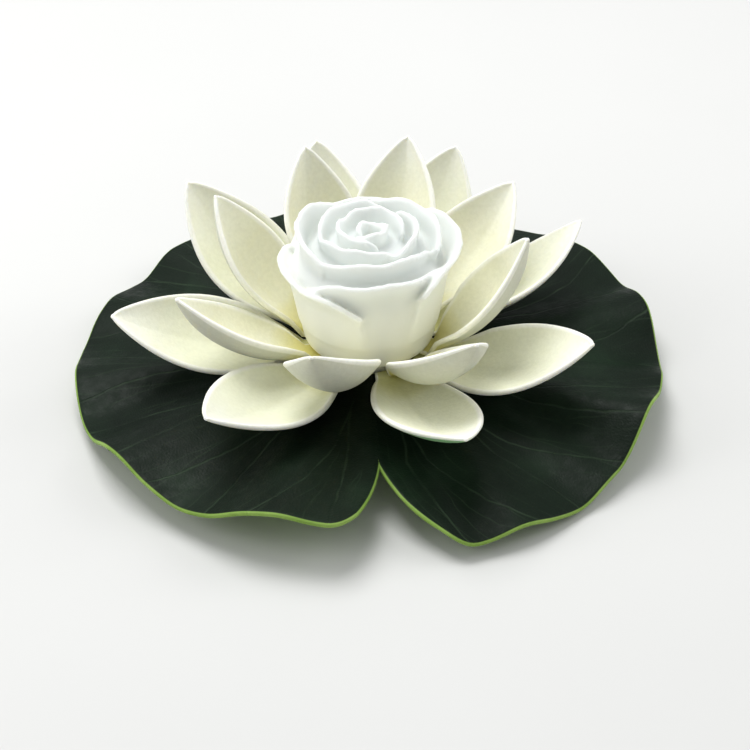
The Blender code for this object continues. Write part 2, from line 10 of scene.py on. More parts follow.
# %% Load the frame
import math

import bmesh
import bpy
import numpy as np
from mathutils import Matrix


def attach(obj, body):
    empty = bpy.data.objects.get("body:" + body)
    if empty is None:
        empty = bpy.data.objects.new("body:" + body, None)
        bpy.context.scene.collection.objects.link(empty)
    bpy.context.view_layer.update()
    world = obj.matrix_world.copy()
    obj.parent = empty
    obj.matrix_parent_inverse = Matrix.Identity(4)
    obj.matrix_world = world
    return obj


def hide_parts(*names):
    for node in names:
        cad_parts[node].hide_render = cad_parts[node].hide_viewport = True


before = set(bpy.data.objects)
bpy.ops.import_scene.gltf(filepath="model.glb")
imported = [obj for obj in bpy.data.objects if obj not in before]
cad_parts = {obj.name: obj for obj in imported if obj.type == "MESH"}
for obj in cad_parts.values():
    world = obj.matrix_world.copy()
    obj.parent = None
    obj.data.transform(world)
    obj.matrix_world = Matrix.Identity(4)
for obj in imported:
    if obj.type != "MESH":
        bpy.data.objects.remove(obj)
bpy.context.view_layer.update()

MM = 0.001


# %% [markdown]
# ## One function for every node
#
# A material is a little graph of nodes. One function adds any of them, given its kind, what
# goes into its sockets and its settings. Colours are written as sRGB hex, as a paint card
# would, and turned to the linear values that the renderer works in. A value that is the same
# all over a piece is set on the shader itself.

# %% Nodes and colours
def colour(text):
    """sRGB hex to linear RGBA."""
    values = [int(text[i:i + 2], 16) / 255 for i in (1, 3, 5)]
    return [v / 12.92 if v < 0.04045 else ((v + 0.055) / 1.055) ** 2.4 for v in values] + [1.0]


def node(tree, kind, *values, output="", stops=(), **named):
    """Add a node with its settings and links, and return one of its outputs.

    values go to its sockets in order. A name that starts with a capital is a socket, as
    Blender labels it, and any other is one of the node's own settings. A value is a number, a
    colour in hex or another node's output. stops are a colour ramp's (position, hex) pairs,
    and output names the output to return where it isn't the first."""
    made = tree.nodes.new("ShaderNode" + kind)
    settings = {key: value for key, value in named.items() if key.islower()}
    for key, value in settings.items():
        setattr(made, key, value)
    filled = list(zip([socket for socket in made.inputs if socket.enabled], values))
    filled += [(made.inputs[key.replace("_", " ")], value) for key, value in named.items()
               if key not in settings]
    for socket, value in filled:
        if isinstance(value, bpy.types.NodeSocket):
            tree.links.new(value, socket)
        else:
            socket.default_value = colour(value) if isinstance(value, str) else value
    if stops:
        elements = made.color_ramp.elements
        while len(elements) < len(stops):
            elements.new(1.0)
        for element, (position, text) in zip(elements, stops):
            element.position = position
            element.color = colour(text)
    return next(socket for socket in made.outputs
                if socket.enabled and output in ("", socket.name))


def new_material(name, **shader_inputs):
    """A material with a Principled shader, its uniform values set on its own sockets."""
    made = bpy.data.materials.new(name)
    made.use_nodes = True
    tree = made.node_tree
    shader = tree.nodes["Principled BSDF"]
    for key, value in shader_inputs.items():
        shader.inputs[key.replace("_", " ")].default_value = value
    return made, tree, shader.inputs


print("mid grey, #808080, is", round(colour("#808080")[0], 3), "in linear light")


# %% [markdown]
# ## Camera
#
# A product like this is shown from above through a long lens, which keeps the round leaf
# from looking stretched. The camera could be aimed by a constraint, but its elevation and
# distance say enough: it is turned down by the elevation, and so it looks at the lamp's foot.

# %% Camera
CAMERA_ELEVATION = math.radians(36)
CAMERA_DISTANCE = 0.535
CAMERA_SIDE = 0.0019
CAMERA_LENS = 82.1


def make_camera():
    """A long lens aimed just beside the middle of the lamp's foot."""
    lens = bpy.data.cameras.new("camera")
    lens.lens = CAMERA_LENS
    lens.sensor_width = 36
    lens.clip_start = 0.01
    item = bpy.data.objects.new("camera", lens)
    item.location = (CAMERA_SIDE, -CAMERA_DISTANCE * math.cos(CAMERA_ELEVATION),
                     CAMERA_DISTANCE * math.sin(CAMERA_ELEVATION))
    item.rotation_euler = (math.pi / 2 - CAMERA_ELEVATION, 0, 0)
    bpy.context.scene.collection.objects.link(item)
    bpy.context.scene.camera = item
    return item


print("camera at", [round(c, 3) for c in make_camera().location])


# %% [markdown]
# ## Floor and light
#
# The lamp stands on a seamless sweep of matt paper under large soft lights. A panel overhead
# gives the soft shadow under the leaf, and two at the sides draw the long highlights in the
# foam's waves. The Standard view keeps white paper white and leaves the finishes' colours as
# they were chosen.

# %% Floor and light
FLOOR_SIZE = 6
# each panel's place and width in metres, and its power in watts
PANELS = {
    "top_panel": ((-0.2, 0.3, 0.9), 0.6, 8.4),
    "left_panel": ((-0.9, -0.1, 0.5), 0.5, 3.0),
    "right_panel": ((0.85, 0.2, 0.55), 0.5, 3.1),
}


def make_floor():
    """Matt white paper, with clouds 300 mm across so faint that they only break its flatness."""
    bpy.ops.mesh.primitive_plane_add(size=FLOOR_SIZE)
    floor = bpy.context.object
    floor.name = "floor"
    paper, tree, shader = new_material("matte_white_paper", Roughness=0.8)
    place = node(tree, "TexCoord", output="Object")
    clouds = node(tree, "TexNoise", place, Scale=1 / (300 * MM), Detail=3)
    shade = node(tree, "ValToRGB", clouds, stops=((0.3, "#cdcdcb"), (0.7, "#d1d1cf")))
    tree.links.new(shade, shader["Base Color"])
    floor.data.materials.append(paper)


def make_panel(name, place, size, power):
    """A square soft light that faces the lamp."""
    light = bpy.data.lights.new(name, "AREA")
    light.size = size
    light.energy = power
    item = bpy.data.objects.new(name, light)
    item.location = place
    aim = -np.array(place)
    item.rotation_euler = (math.acos(-aim[2] / np.linalg.norm(aim)), 0,
                           math.atan2(aim[1], aim[0]) - math.pi / 2)
    bpy.context.scene.collection.objects.link(item)


def make_surroundings():
    """A pale studio all round, which fills the shadows."""
    world = bpy.data.worlds.new("studio")
    world.use_nodes = True
    sky = world.node_tree.nodes["Background"]
    sky.inputs["Color"].default_value = colour("#f7f9fb")
    sky.inputs["Strength"].default_value = 0.5
    bpy.context.scene.world = world
    bpy.context.scene.view_settings.view_transform = "Standard"


make_floor()
for panel_name, panel in PANELS.items():
    make_panel(panel_name, *panel)
make_surroundings()
print("panels:", len(PANELS), "with", sum(power for _, _, power in PANELS.values()), "W")


# %% [markdown]
# ## From a grid to a sheet
#
# Every soft surface here is a thin sheet: a middle surface on a grid of rows and columns,
# thickened along its normals, with a rim rounded as a half circle, because foam sheet is cut
# and pressed and its edge is never sharp. A Solidify modifier could thicken it, but its rim
# would be square. Whole arrays are worked out at once, and the mesh gets them in one call.

# %% Grids to meshes
def grid_faces(rows, columns, first=0, flip=False):
    """Quads of a grid whose vertex (i, j) is number first + i * columns + j."""
    i, j = np.meshgrid(np.arange(rows - 1), np.arange(columns - 1), indexing="ij")
    corner = first + (i * columns + j).ravel()
    quads = np.stack([corner, corner + columns, corner + columns + 1, corner + 1], axis=1)
    return quads[:, ::-1] if flip else quads


def unit(vectors):
    """Vectors scaled to length one."""
    return vectors / np.maximum(np.linalg.norm(vectors, axis=-1, keepdims=True), 1e-12)


def grid_normals(middle):
    """Normals of a grid: the cross product of its two directions."""
    return unit(np.cross(np.gradient(middle, axis=0), np.gradient(middle, axis=1)))


def rounded_sheet(middle, normals, half, loops, steps=4):
    """A closed sheet round a middle surface, all in one set of vertices and quads.

    Top and bottom are middle +- half * normal. Along each boundary loop, given as rows and
    columns with the sheet on its left, the rim is the half circle
    middle + half * (cos(a) * normal + sin(a) * outward) for a from 0 to 180 degrees.
    Returns points, quads, and for each point its row, column and side (1 top to 0 bottom)."""
    rows, columns = middle.shape[:2]
    lift = normals * half[..., None]
    row, column = np.meshgrid(np.arange(rows), np.arange(columns), indexing="ij")
    points = [(middle + lift).reshape(-1, 3), (middle - lift).reshape(-1, 3)]
    quads = [grid_faces(rows, columns), grid_faces(rows, columns, rows * columns, flip=True)]
    where = [np.stack([row.ravel(), column.ravel()], axis=1)] * 2
    side = [np.ones(rows * columns), np.zeros(rows * columns)]
    count = 2 * rows * columns
    for loop_rows, loop_columns, closed in loops:
        path = middle[loop_rows, loop_columns]
        normal = normals[loop_rows, loop_columns]
        size = half[loop_rows, loop_columns][:, None]
        if closed:
            tangent = np.roll(path, -1, axis=0) - np.roll(path, 1, axis=0)
        else:
            tangent = np.gradient(path, axis=0)
        outward = unit(np.cross(unit(tangent), normal))
        if not closed:
            outward[0] = outward[-1] = unit(outward[0] + outward[-1])
        angle = np.linspace(0, np.pi, steps + 2)[None, :, None]
        arc = path[:, None] + size[:, None] * (
            np.cos(angle) * normal[:, None] + np.sin(angle) * outward[:, None])
        if closed:
            arc = np.concatenate([arc, arc[:1]])
            loop_rows = np.append(loop_rows, loop_rows[0])
            loop_columns = np.append(loop_columns, loop_columns[0])
        points.append(arc.reshape(-1, 3))
        quads.append(grid_faces(arc.shape[0], steps + 2, count, flip=True))
        where.append(np.repeat(np.stack([loop_rows, loop_columns], axis=1), steps + 2, axis=0))
        side.append(np.tile(np.linspace(1, 0, steps + 2), arc.shape[0]))
        count += arc.shape[0] * (steps + 2)
    return tuple(np.concatenate(found) for found in (points, quads, where, side))


def make_object(name, points, quads, attributes=None, weld=1e-6):
    """A smooth object from points in millimetres, its doubled points welded.

    Attributes are numbers for each point that a material can read by name."""
    mesh = bpy.data.meshes.new(name)
    mesh.from_pydata((points * MM).tolist(), [], quads.tolist())
    for key, values in (attributes or {}).items():
        layer = mesh.attributes.new(key, "FLOAT", "POINT")
        layer.data.foreach_set("value", np.ascontiguousarray(values, dtype=np.float32))
    bm = bmesh.new()
    bm.from_mesh(mesh)
    bmesh.ops.remove_doubles(bm, verts=bm.verts, dist=weld)
    bmesh.ops.dissolve_degenerate(bm, edges=bm.edges, dist=1e-7)
    bm.to_mesh(mesh)
    bm.free()
    mesh.shade_smooth()
    item = bpy.data.objects.new(name, mesh)
    bpy.context.scene.collection.objects.link(item)
    return item


print("a grid of 3 by 4 points has", len(grid_faces(3, 4)), "quads")


# %% [markdown]
# ## The leaf
#
# The leaf is a disc of 1.6 mm foam sheet, die-cut with a notch, printed dark green and pressed
# in a warm mould. It could be a subdivided disc pushed about by hand, but one function of two
# numbers says more: how far round the notch, and how far out from the lamp's hole. The sheet
# is slit and the slit is spread into a V, the rim rises and falls through the heights of the
# CAD model's crests and troughs, and pressed folds run out along the radii.

# %% Leaf sizes and shape
LEAF_RADIUS = 89.4
LEAF_HOLE = 15.6
LEAF_FLAT = 24.0             # the lamp clamps the leaf flat as far out as this
LEAF_THICK = 1.6
LEAF_CENTRE = 10.7
NOTCH_AZIMUTH = 272.7
NOTCH_START = 57.0
NOTCH_LEFT = 5.0
NOTCH_RIGHT = 11.0
CORNER_LENGTH = 8.0          # length of rim over which each corner of the notch is rounded
CORNER_DEPTH = 6.0
FOLD_HEIGHTS = (0.14, 0.1)   # pressed folds, 23 and 41 of them round the leaf
# azimuth in degrees and height in mm of the rim's crests and troughs
LEAF_WAVES = np.array((
    (0, 6), (13, 14), (25, 10), (36, 13), (60, 7), (90, 13), (115, 7), (137, 8.5),
    (148, 3), (160, 7), (175, 4), (188, 8.5), (201, 4), (218, 12), (234, 7.5),
    (255, 16.5), (266, 15), (284, 7), (290, 4.5), (298, 6.5), (311, 2.4), (322, 6),
    (335, 16), (348, 10), (360, 6)))


def wave_height(azimuth):
    """Rim height at an azimuth: half a cosine between each crest and the next trough."""
    where = azimuth % 360
    span = np.clip(np.searchsorted(LEAF_WAVES[:, 0], where, side="right") - 1, 0,
                   len(LEAF_WAVES) - 2)
    low, high = LEAF_WAVES[span], LEAF_WAVES[span + 1]
    share = 0.5 - 0.5 * np.cos(np.pi * (where - low[..., 0]) / (high[..., 0] - low[..., 0]))
    return low[..., 1] + (high[..., 1] - low[..., 1]) * share


def leaf_middle(share_out, share_round):
    """Middle surface of the leaf, in mm.

    radius = hole + (rim - hole) * share_out, less a rounding at the notch's two corners.
    azimuth = notch + right + share_round * (360 - right - left), where right and left are how
    far the slit is spread at that radius. height = centre + (rim height - centre) * lift,
    where lift grows from the clamped middle to the rim, plus low folds along the radii."""
    rim_distance = np.minimum(share_round, 1 - share_round) * 2 * np.pi * LEAF_RADIUS
    corner = np.clip(1 - rim_distance / CORNER_LENGTH, 0, 1) ** 2
    radius = LEAF_HOLE + (LEAF_RADIUS - LEAF_HOLE) * share_out
    depth = np.clip((radius - NOTCH_START) / (LEAF_RADIUS - NOTCH_START), 0, 1)
    radius = radius - CORNER_DEPTH * corner * depth ** 2
    right = NOTCH_RIGHT * depth ** 1.1
    left = NOTCH_LEFT * depth ** 1.2
    azimuth = NOTCH_AZIMUTH + right + share_round * (360 - right - left)
    out = np.clip((radius - LEAF_FLAT) / (LEAF_RADIUS - LEAF_FLAT), 0, None)
    angle = np.radians(azimuth)
    broad, narrow = FOLD_HEIGHTS
    folds = (broad * np.sin(23 * angle + 3 * np.sin(2 * angle))
             + narrow * np.sin(41 * angle + 1))
    height = LEAF_CENTRE + (wave_height(azimuth) - LEAF_CENTRE) * out ** 1.7 + folds * out ** 1.2
    return np.stack([radius * np.cos(angle), radius * np.sin(angle), height], axis=-1)


print("the rim's waves run from", LEAF_WAVES[:, 1].min(), "to", LEAF_WAVES[:, 1].max(), "mm")


# %% [markdown]
# ### The leaf's printed foam
#
# The print is dark green on top with thin pale veins that fork towards the rim, and the foam
# itself is a bright yellow-green that shows at the cut edge and, darker, on the underside.
# The press leaves a fine leather grain that breaks the highlights up. Real grain is about
# 0.3 mm, and it is drawn at 0.7 mm so that it shows. The veins are drawn with sums on two
# numbers stored on the points: the share round and the radius.

# %% Leaf material
FORK_SPREAD = 0.3            # how far a vein's branches part, as a share of its sector


def vein_line(tree, turn, radius, veins, fork_start, inner, outer):
    """1 on a vein and 0 off it, with a soft edge from inner to outer in mm.

    Each of the equal sectors has a main vein down its middle. Beyond fork_start its two
    branches part, so distance = ||share of sector - 0.5| - fork| * radius * 2 pi / veins."""
    sector = node(tree, "Math", turn, veins, operation="MULTIPLY")
    share = node(tree, "Math", sector, operation="FRACT")
    centred = node(tree, "Math", share, 0.5, operation="SUBTRACT")
    apart = node(tree, "Math", centred, operation="ABSOLUTE")
    fork = node(tree, "MapRange", radius, From_Min=fork_start, From_Max=LEAF_RADIUS,
                To_Max=FORK_SPREAD)
    past = node(tree, "Math", apart, fork, operation="SUBTRACT")
    shares_off = node(tree, "Math", past, operation="ABSOLUTE")
    scaled = node(tree, "Math", shares_off, radius, operation="MULTIPLY")
    distance = node(tree, "Math", scaled, 2 * math.pi / veins, operation="MULTIPLY")
    return node(tree, "MapRange", distance, inner, outer, 1.0, 0.0,
                interpolation_type="SMOOTHSTEP")


def leaf_print(tree, place, turn, radius):
    """The printed top: mottled dark green with worn veins. Also gives the main veins alone."""
    drift = node(tree, "TexNoise", place, Scale=1 / (30 * MM), Detail=3)
    drift = node(tree, "MapRange", drift, To_Min=-0.01, To_Max=0.01)
    turn = node(tree, "Math", turn, drift, operation="ADD")
    main = vein_line(tree, turn, radius, 15, 34.0, 0.1, 0.55)
    fine = vein_line(tree, turn, radius, 45, 62.0, 0.05, 0.35)
    outside = node(tree, "MapRange", radius, 45.0, 60.0, To_Max=0.5,
                   interpolation_type="SMOOTHSTEP")
    fine = node(tree, "Math", fine, outside, operation="MULTIPLY")
    both = node(tree, "Math", main, fine, operation="MAXIMUM")
    worn = node(tree, "TexNoise", place, Scale=1 / (14 * MM), Detail=3)
    worn = node(tree, "MapRange", worn, 0.35, 0.65, To_Max=0.4, interpolation_type="SMOOTHSTEP")
    veins = node(tree, "Math", both, worn, operation="MULTIPLY")
    mottle = node(tree, "TexNoise", place, Scale=1 / (22 * MM), Detail=4)
    ground = node(tree, "ValToRGB", mottle,
                  stops=((0.3, "#08130a"), (0.55, "#0e1b10"), (0.75, "#162618")))
    return node(tree, "Mix", veins, ground, "#384a35", data_type="RGBA"), main


def leaf_material():
    """Dark green printed EVA foam with veins, leather grain and a bright cut edge."""
    made, tree, shader = new_material("printed_eva_foam_leaf", Specular_IOR_Level=0.1)
    place = node(tree, "TexCoord", output="Object")
    turn = node(tree, "Attribute", attribute_name="turn", output="Fac")
    radius = node(tree, "Attribute", attribute_name="radius", output="Fac")
    side = node(tree, "Attribute", attribute_name="side", output="Fac")
    printed, main_veins = leaf_print(tree, place, turn, radius)
    bare = node(tree, "TexNoise", place, Scale=1 / (9 * MM), Detail=3)
    bare = node(tree, "ValToRGB", bare, stops=((0.3, "#789843"), (0.7, "#8dab56")))
    on_top = node(tree, "MapRange", side, 0.8, 0.95, interpolation_type="SMOOTHSTEP")
    tree.links.new(node(tree, "Mix", on_top, bare, printed, data_type="RGBA"),
                   shader["Base Color"])
    leather = node(tree, "TexVoronoi", place, Scale=1 / (0.7 * MM), feature="F1")
    leather = node(tree, "Math", leather, 0.35, operation="MULTIPLY")
    fine = node(tree, "TexNoise", place, Scale=1 / (0.5 * MM), Detail=2)
    relief = node(tree, "Math", fine, 0.3, leather, operation="MULTIPLY_ADD")
    relief = node(tree, "Math", main_veins, -0.5, relief, operation="MULTIPLY_ADD")
    tree.links.new(node(tree, "Bump", Height=relief, Distance=0.16 * MM), shader["Normal"])
    rubbed = node(tree, "TexNoise", place, Scale=1 / (3 * MM), Detail=3)
    tree.links.new(node(tree, "MapRange", rubbed, 0.3, 0.7, 0.4, 0.58), shader["Roughness"])
    return made


leaf_foam = leaf_material()
print(leaf_foam.name, "has", len(leaf_foam.node_tree.nodes), "nodes")


# %% [markdown]
# ### The leaf's mesh
#
# The grid is slit where the notch is. Nearer the lamp than the notch, the two edges of the
# slit lie on each other, so they share their normals and are welded. Further out they part,
# and get the same round rim as the outline.

# %% Leaf piece
LEAF_GRID = (76, 421)
CORNER_COLUMNS = 7            # columns of the grid that the corner's rounding spans


def make_leaf():
    """The leaf's grid, with its two slit edges joined inside the notch."""
    rows, columns = LEAF_GRID
    share_out = np.linspace(0, 1, rows)
    notch_share = (NOTCH_START - LEAF_HOLE) / (LEAF_RADIUS - LEAF_HOLE)
    notch_row = int(np.argmin(np.abs(share_out - notch_share)))
    share_out[notch_row] = notch_share
    share_round = np.linspace(0, 1, columns)
    out, around = np.meshgrid(share_out, share_round, indexing="ij")
    middle = leaf_middle(out, around)
    normals = grid_normals(middle)
    joined = unit(normals[:notch_row + 1, 0] + normals[:notch_row + 1, -1])
    normals[:notch_row + 1, 0] = joined
    normals[:notch_row + 1, -1] = joined
    # at the notch's rounded corners the grid's two directions are nearly parallel, so the
    # normals there are taken from just past the rounding
    normals[notch_row + 1:, :CORNER_COLUMNS] = normals[notch_row + 1:, CORNER_COLUMNS, None]
    normals[notch_row + 1:, -CORNER_COLUMNS:] = normals[notch_row + 1:, -CORNER_COLUMNS - 1, None]
    half = np.full((rows, columns), LEAF_THICK / 2)
    up = np.arange(notch_row, rows)
    over = np.arange(columns)
    rim = (np.concatenate([up, np.full(columns - 2, rows - 1), up[::-1]]),
           np.concatenate([np.zeros(len(up), int), over[1:-1],
                           np.full(len(up), columns - 1)]), False)
    hole = (np.zeros(columns - 1, int), over[:0:-1], True)
    points, quads, where, side = rounded_sheet(middle, normals, half, (rim, hole))
    radius = np.hypot(points[:, 0], points[:, 1])
    turn = around[where[:, 0], where[:, 1]]
    leaf = make_object("leaf", points, quads, {"turn": turn, "radius": radius, "side": side})
    leaf.data.materials.append(leaf_foam)
    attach(leaf, "lamp")
    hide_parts("leaf_pad")
    return leaf


print("leaf:", len(make_leaf().data.polygons), "faces")


# %% [markdown]
# ## The petals
#
# Each petal is thin foam sheet, pressed over a spoon-shaped mould: hollow along its middle,
# pointed at its tip, and narrow at the foot that the lamp clamps. A ring shares one length,
# width and hollow, and there are six ways to bend a petal, so each of the sixteen needs only
# its direction, its bend and its turn. They are set in steps of five degrees, the way a
# florist opens a flower.

# %% Petal sizes and arrangement
PETAL_FOOT_RADIUS = 20.0
PETAL_TAB_RADIUS = 16.0
PETAL_THICK = 1.6
PETAL_FOOT_THICK = 1.3
PETAL_CURL = 1.2             # power by which the slope changes from foot to tip
FOOT_WIDTH = 0.34            # a foot's width as a share of the full width
FOOT_SHARE = 1 / 9           # over this share of its length the hollow grows evenly
TWIST_SHARE = 0.3            # over this share of its length the turn grows evenly
CREASE_HEIGHT = 0.2
CREASE_WIDTH = 0.12          # as a share of the half width
# the two rings of feet are clamped between leaf and shoulder, one above the other; each ring
# has a length, half width, hollow and height of its feet
LOWER_RING = (62.0, 15.0, 5.0, 12.4)
UPPER_RING = (54.0, 14.0, 7.5, 14.3)
# six ways to bend a petal: slope at its foot and at its tip, in degrees
LAID = (0, 40)
LIFTED = (0, 55)
RAISED = (10, 70)
OPEN = (15, 70)
STEEP = (45, 75)
UPRIGHT = (30, 90)
# each petal's direction, its bend, and how far its blade is turned
LOWER_PETALS = (
    (25, LIFTED, -15), (65, RAISED, 20), (105, RAISED, 0), (150, OPEN, -20),
    (190, LAID, -20), (235, LAID, -10), (290, LAID, -5), (330, LIFTED, 15),
)
UPPER_PETALS = (
    (40, OPEN, 10), (75, STEEP, -5), (115, UPRIGHT, 10), (165, UPRIGHT, -5),
    (205, RAISED, 5), (255, OPEN, 10), (300, OPEN, -5), (345, UPRIGHT, 10),
)
print("petals:", len(LOWER_PETALS), "below and", len(UPPER_PETALS), "above")


# %% [markdown]
# ### One petal's surface
#
# A midline climbs from the foot at a slope that changes towards the tip, each cross-section
# is a parabola, and the blade is turned about the line from foot to tip. A flat tab reaches
# in from the foot under the lamp's shoulder. The sheet's rounded rim adds half its thickness
# all round, so the outline is first drawn in by as much.

# %% Petal shape
PETAL_GRID = (56, 33)


def trapezoids(values, step):
    """Integral of values up to each station, from zero, for uneven steps."""
    return np.cumsum((values + np.concatenate([values[:1], values[:-1]])) / 2 * step)


def twisted(blade, degrees, share):
    """The blade turned about the chord from its foot to its tip, each station by its share."""
    middle = blade.shape[1] // 2
    foot = blade[0, middle]
    chord = unit(blade[-1, middle] - foot)
    angle = math.radians(degrees) * share[:, None, None]
    arm = blade - foot
    along = (arm @ chord)[..., None] * chord
    return (foot + arm * np.cos(angle) + np.cross(chord, arm) * np.sin(angle)
            + along * (1 - np.cos(angle)))


def petal_blade(bend, length, half_width, cup, seat, stations, columns):
    """The blade before it is turned, reaching out along X, and its stations s.

    For s from 0 at the foot to 1 at the tip, the slope is foot + (tip - foot) * s^1.2, and
    the midline is its running sum. Half width is the full one times
    (0.34 + 0.66 sin(pi (s / 1.1)^0.95)) * sqrt(1 - s^4.6). Across v from -1 to 1 the section
    rises by cup * sin(pi s^0.8)^0.8 * v^2, with a low crease down the middle. Over the first
    ninth the hollow is held back by (9 s)^0.36, so that the rings' feet stay clear."""
    foot_slope, tip_slope = bend
    s = 1 - (1 - np.linspace(0, 1, stations)) ** 1.25
    slope = np.radians(foot_slope + (tip_slope - foot_slope) * s ** PETAL_CURL)
    step = np.diff(s, prepend=0)
    reach = length - PETAL_THICK / 2
    out = PETAL_FOOT_RADIUS + reach * trapezoids(np.cos(slope), step)
    up = seat + reach * trapezoids(np.sin(slope), step)
    belly = np.sin(np.pi * (s / 1.1) ** 0.95)
    tip = np.sqrt(np.clip(1 - s ** 4.6, 0, None))
    width = half_width * (FOOT_WIDTH + (1 - FOOT_WIDTH) * belly) * tip
    width = np.maximum(width - PETAL_THICK / 2, 0.15)
    depth = cup * np.sin(np.pi * np.clip(s, 0, 1) ** 0.8) ** 0.8
    depth = depth * np.minimum(1, s / FOOT_SHARE) ** 0.36
    depth[-1] = 0
    v = np.linspace(-1, 1, columns)
    swell = CREASE_HEIGHT * np.sin(np.pi * s)[:, None]
    crease = swell * (0.5 - np.exp(-(v / CREASE_WIDTH) ** 2))
    rise = depth[:, None] * v ** 2 + crease
    blade = np.stack([out[:, None] - rise * np.sin(slope)[:, None], width[:, None] * v,
                      up[:, None] + rise * np.cos(slope)[:, None]], axis=2)
    return blade, s


def foot_tab(foot, seat, tab_rows):
    """Rows from the tab's inner end to the foot: each is a blend of the two by its share."""
    share = np.linspace(0, 1, tab_rows, endpoint=False)[:, None]
    tab_start = PETAL_TAB_RADIUS + PETAL_FOOT_THICK / 2
    return np.stack([tab_start + (foot[None, :, 0] - tab_start) * share,
                     foot[None, :, 1] * (0.8 + 0.2 * share),
                     seat + (foot[None, :, 2] - seat) * share], axis=2)


def petal_middle(row, ring, stations, columns, tab_rows=4):
    """Middle surface of a petal, in mm: the blade turned about its chord, with its tab, then
    swung to its direction. Also gives each row's share of the way along the blade."""
    azimuth, bend, turned = row
    blade, s = petal_blade(bend, *ring, stations, columns)
    blade = twisted(blade, turned, np.minimum(1, s / TWIST_SHARE))
    sheet = np.concatenate([foot_tab(blade[0], ring[-1], tab_rows), blade])
    angle = math.radians(azimuth)
    swing = np.array([[math.cos(angle), math.sin(angle), 0],
                      [-math.sin(angle), math.cos(angle), 0], [0, 0, 1]])
    return sheet @ swing, np.concatenate([np.zeros(tab_rows), s])


first_tip = petal_middle(LOWER_PETALS[0], LOWER_RING, *PETAL_GRID)[0][-1, PETAL_GRID[1] // 2]
print("the first petal's tip is at", [round(float(c), 1) for c in first_tip], "mm")


# %% [markdown]
# ### The petals' pressed foam
#
# The foam is ivory, sprayed yellow at its foot and left pale at its tip, and its underside is a
# cool grey-green. Round its rounded rim and over the last tenth of its tip the colour is painted
# whiter: a painted highlight, where the edge catches the light. Its closed cells are a few tenths
# of a millimetre across, drawn at 0.55 mm so that they show, and give it a skin like fine
# eggshell. A little light goes into foam and comes out again, so a small subsurface share
# softens the shading.

# %% Petal material
def petal_material(name, tip, body, foot, under, spray=None):
    """Pressed ivory EVA foam; spray is the colour of a green spray under the tip."""
    made, tree, shader = new_material(
        name, Roughness=0.55, Specular_IOR_Level=0.35, Subsurface_Weight=0.25,
        Subsurface_Scale=0.002, Subsurface_Radius=(1.0, 0.9, 0.6))
    place = node(tree, "TexCoord", output="Object")
    along = node(tree, "Attribute", attribute_name="along", output="Fac")
    across = node(tree, "Attribute", attribute_name="across", output="Fac")
    side = node(tree, "Attribute", attribute_name="side", output="Fac")
    drift = node(tree, "TexNoise", place, Scale=1 / (9 * MM), Detail=3)
    drift = node(tree, "MapRange", drift, To_Min=-0.08, To_Max=0.08)
    sprayed = node(tree, "Math", along, drift, operation="ADD")
    upper = node(tree, "ValToRGB", sprayed,
                 stops=((0.0, foot), (0.22, body), (0.62, body), (0.97, tip)))
    lower = node(tree, "ValToRGB", sprayed, stops=((0.05, foot), (0.3, under), (0.9, under)))
    if spray:
        patch = node(tree, "TexNoise", place, Scale=1 / (16 * MM), Detail=3)
        patch = node(tree, "MapRange", patch, 0.3, 0.6, interpolation_type="SMOOTHSTEP")
        outer = node(tree, "MapRange", along, 0.45, 0.8, interpolation_type="SMOOTHSTEP")
        patch = node(tree, "Math", outer, patch, operation="MULTIPLY")
        lower = node(tree, "Mix", patch, lower, spray, data_type="RGBA")
    on_top = node(tree, "MapRange", side, 0.1, 0.5, interpolation_type="SMOOTHSTEP")
    colours = node(tree, "Mix", on_top, lower, upper, data_type="RGBA")
    # painted highlight: the rim and the tip's last tenth are painted whiter, where the rounded
    # edge catches the light
    rim = node(tree, "MapRange", across, 0.93, 0.995, To_Max=0.7,
               interpolation_type="SMOOTHSTEP")
    colours = node(tree, "Mix", rim, colours, "#fbfaf2", data_type="RGBA")
    mottle = node(tree, "TexNoise", place, Scale=1 / (1.2 * MM), Detail=3)
    mottle = node(tree, "ValToRGB", mottle, stops=((0.3, "#f2f2f0"), (0.7, "#ffffff")))
    tree.links.new(node(tree, "Mix", 0.6, colours, mottle, data_type="RGBA",
                        blend_type="MULTIPLY"), shader["Base Color"])
    cells = node(tree, "TexVoronoi", place, Scale=1 / (0.55 * MM), feature="SMOOTH_F1")
    skin = node(tree, "TexNoise", place, Scale=1 / (1.5 * MM), Detail=2)
    relief = node(tree, "Math", cells, 0.4, skin, operation="MULTIPLY_ADD")
    tree.links.new(node(tree, "Bump", Height=relief, Distance=0.05 * MM), shader["Normal"])
    return made


lower_foam = petal_material("pressed_eva_foam_lower", "#f6f6e8", "#eeefd6", "#dad996",
                            "#cbcdb8")
sprayed_foam = petal_material("pressed_eva_foam_sprayed", "#f6f6e8", "#eeefd6", "#dad996",
                              "#bccaa6", "#7fb27a")
upper_foam = petal_material("pressed_eva_foam_upper", "#f7f7ea", "#f1f0d8", "#e0d884",
                            "#d6d7c5")
print("foams:", [foam.name for foam in (lower_foam, sprayed_foam, upper_foam)])


# %% [markdown]
# ### The petals' meshes
#
# The foam is thinner where the lamp squeezes it, and again at the tip, where the press ran
# out. One lower petal at the front has the green spray under its tip.

# %% Petal pieces
THICKENING_SHARE = 0.35      # over this share of its length a petal grows to full thickness
TIP_THINNING = 0.35          # share of its thickness that the last fifth loses
SPRAYED_PETAL = 7


def edge_loop(rows, columns):
    """The whole boundary of a grid, counter-clockwise seen from its normal's side."""
    up = np.arange(rows)
    over = np.arange(columns)
    loop_rows = np.concatenate([up[:-1], np.full(columns - 1, rows - 1), up[:0:-1],
                                np.zeros(columns - 1, int)])
    loop_columns = np.concatenate([np.zeros(rows - 1, int), over[:-1],
                                   np.full(rows - 1, columns - 1), over[:0:-1]])
    return loop_rows, loop_columns, True


